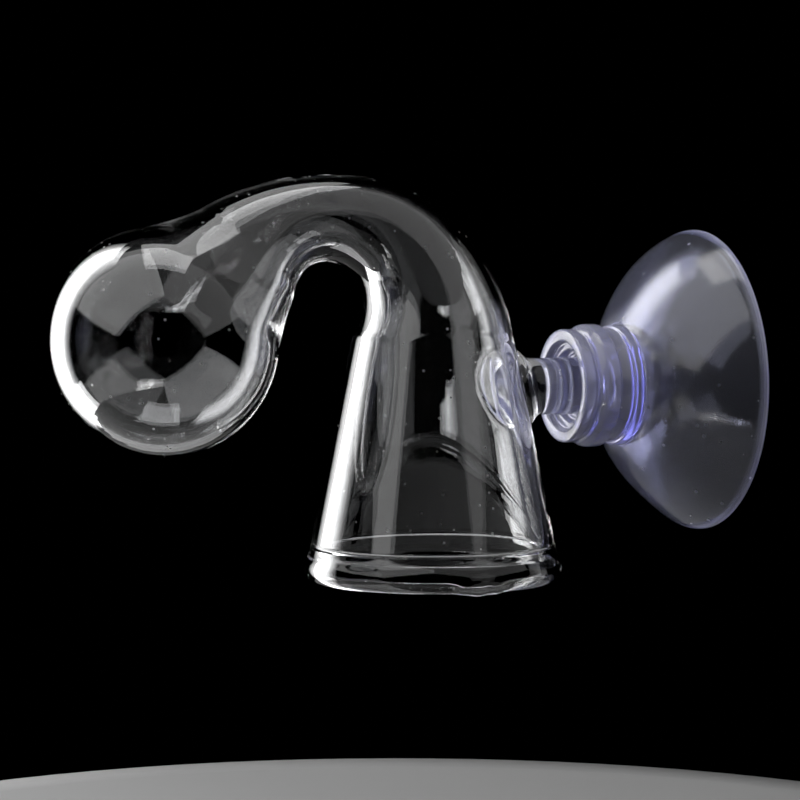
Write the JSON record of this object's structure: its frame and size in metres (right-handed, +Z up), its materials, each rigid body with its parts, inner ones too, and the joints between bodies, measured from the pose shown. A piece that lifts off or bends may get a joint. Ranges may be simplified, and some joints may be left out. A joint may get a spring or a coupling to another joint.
{
  "type": "aquarium carbon dioxide drop checker",
  "caption": "Clear glass drop checker: a hollow bulb and a bell joined by a swan neck, held on a tank wall by a stud in a violet suction cup.",
  "frame": {"origin": "centre of the suction cup's rim, on the plane that lies on the tank wall", "axes": "+X out of the tank through the wall, +Z up, +Y along the wall"},
  "size_m": [0.0779, 0.035, 0.0456],
  "materials": {
    "glass": "clear, fire polished",
    "soft_pvc": "clear soft moulding with a violet tint"
  },
  "bodies": {
    "cup_rim": {"cup_rim": "soft_pvc"},
    "cup_head": {"cup_collar": "soft_pvc", "cup_dome": "soft_pvc"},
    "glass": {"bulb": "glass", "swan_neck": "glass", "bell": "glass", "bell_lip": "glass", "stud_foot": "glass", "stud": "glass"}
  },
  "joints": [
    {"name": "cup_press", "type": "slide", "parent": "cup_rim", "child": "cup_head", "axis": [1, 0, 0], "range_m": [0, 0.006], "stiffness_N_per_m": 1500, "deforming": ["cup_dome"]},
    {"name": "stud_swivel", "type": "hinge", "parent": "cup_head", "child": "glass", "pos_m": [-0.0145, 0, -0.00035], "axis": [1, 0, 0], "continuous": true}
  ]
}
